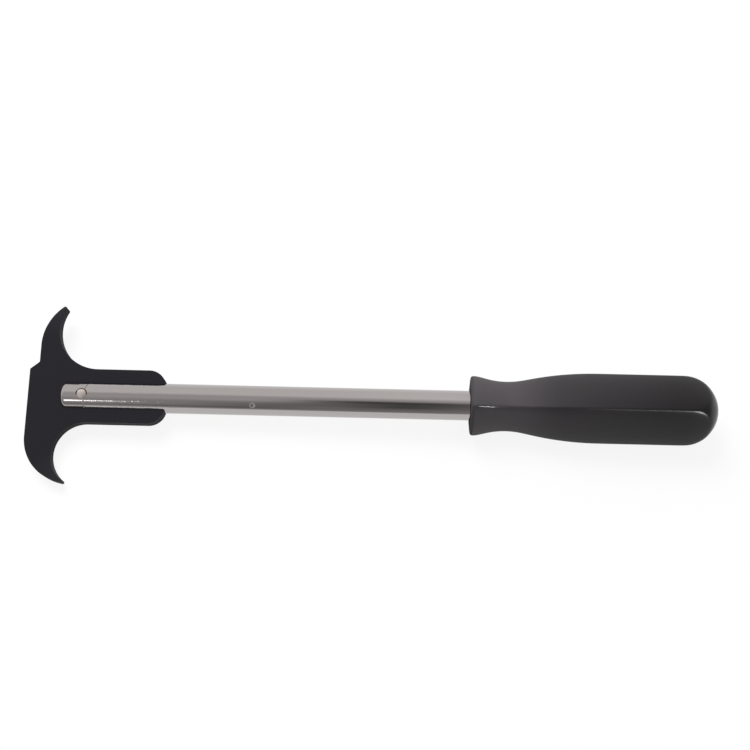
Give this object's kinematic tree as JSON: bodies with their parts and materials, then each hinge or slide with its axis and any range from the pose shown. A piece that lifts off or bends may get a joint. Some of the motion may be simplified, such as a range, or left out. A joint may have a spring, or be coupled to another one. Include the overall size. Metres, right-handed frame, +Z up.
{
  "type": "seal puller",
  "caption": "Hand tool that hooks and levers out oil seals: a flat double-hook plate riveted into a slotted chromed bar with a square moulded handle.",
  "frame": {"origin": "on the surface that the tool lies on, under the middle of its bounding box", "axes": "+X along the tool from the hooks to the handle, +Z up from the surface that it lies on"},
  "size_m": [0.2993, 0.0782, 0.0308],
  "materials": {
    "blackened_steel": "matt black coated steel plate",
    "chrome_plate": "bright chrome plate on a turned bar",
    "rivet_steel": "peened plain steel",
    "handle_plastic": "semi-gloss black moulding"
  },
  "bodies": {
    "root": {"hook_plate": "blackened_steel", "shaft": "chrome_plate", "rivet": "rivet_steel", "handle": "handle_plastic"}
  },
  "joints": []
}
